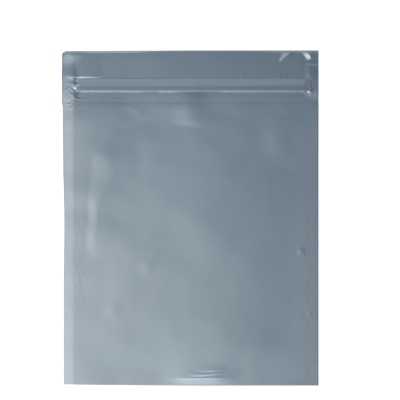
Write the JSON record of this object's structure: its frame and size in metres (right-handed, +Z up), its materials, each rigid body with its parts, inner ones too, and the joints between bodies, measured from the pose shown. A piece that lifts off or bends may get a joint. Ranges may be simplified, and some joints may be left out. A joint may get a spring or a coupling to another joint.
{
  "type": "anti-static zip bag",
  "caption": "Flat pouch of two metallised film panels, heat-sealed on both sides and the bottom, with a press-to-close zip below its open lip.",
  "frame": {"origin": "on the surface that the bag lies on, under the middle of the bag", "axes": "+X across the bag towards its squarer side edge, +Y from the bottom seal towards the mouth, +Z up through the front panel"},
  "size_m": [0.15, 0.196, 0.0017],
  "materials": {
    "shielding_film": "smooth metallised film, blue-grey, semi-gloss",
    "zip_plastic": "milky natural polyethylene"
  },
  "bodies": {
    "root": {"back_panel": "shielding_film", "front_panel": "shielding_film", "zip_groove_strip": "zip_plastic", "zip_ridge_strip": "zip_plastic"}
  },
  "joints": []
}
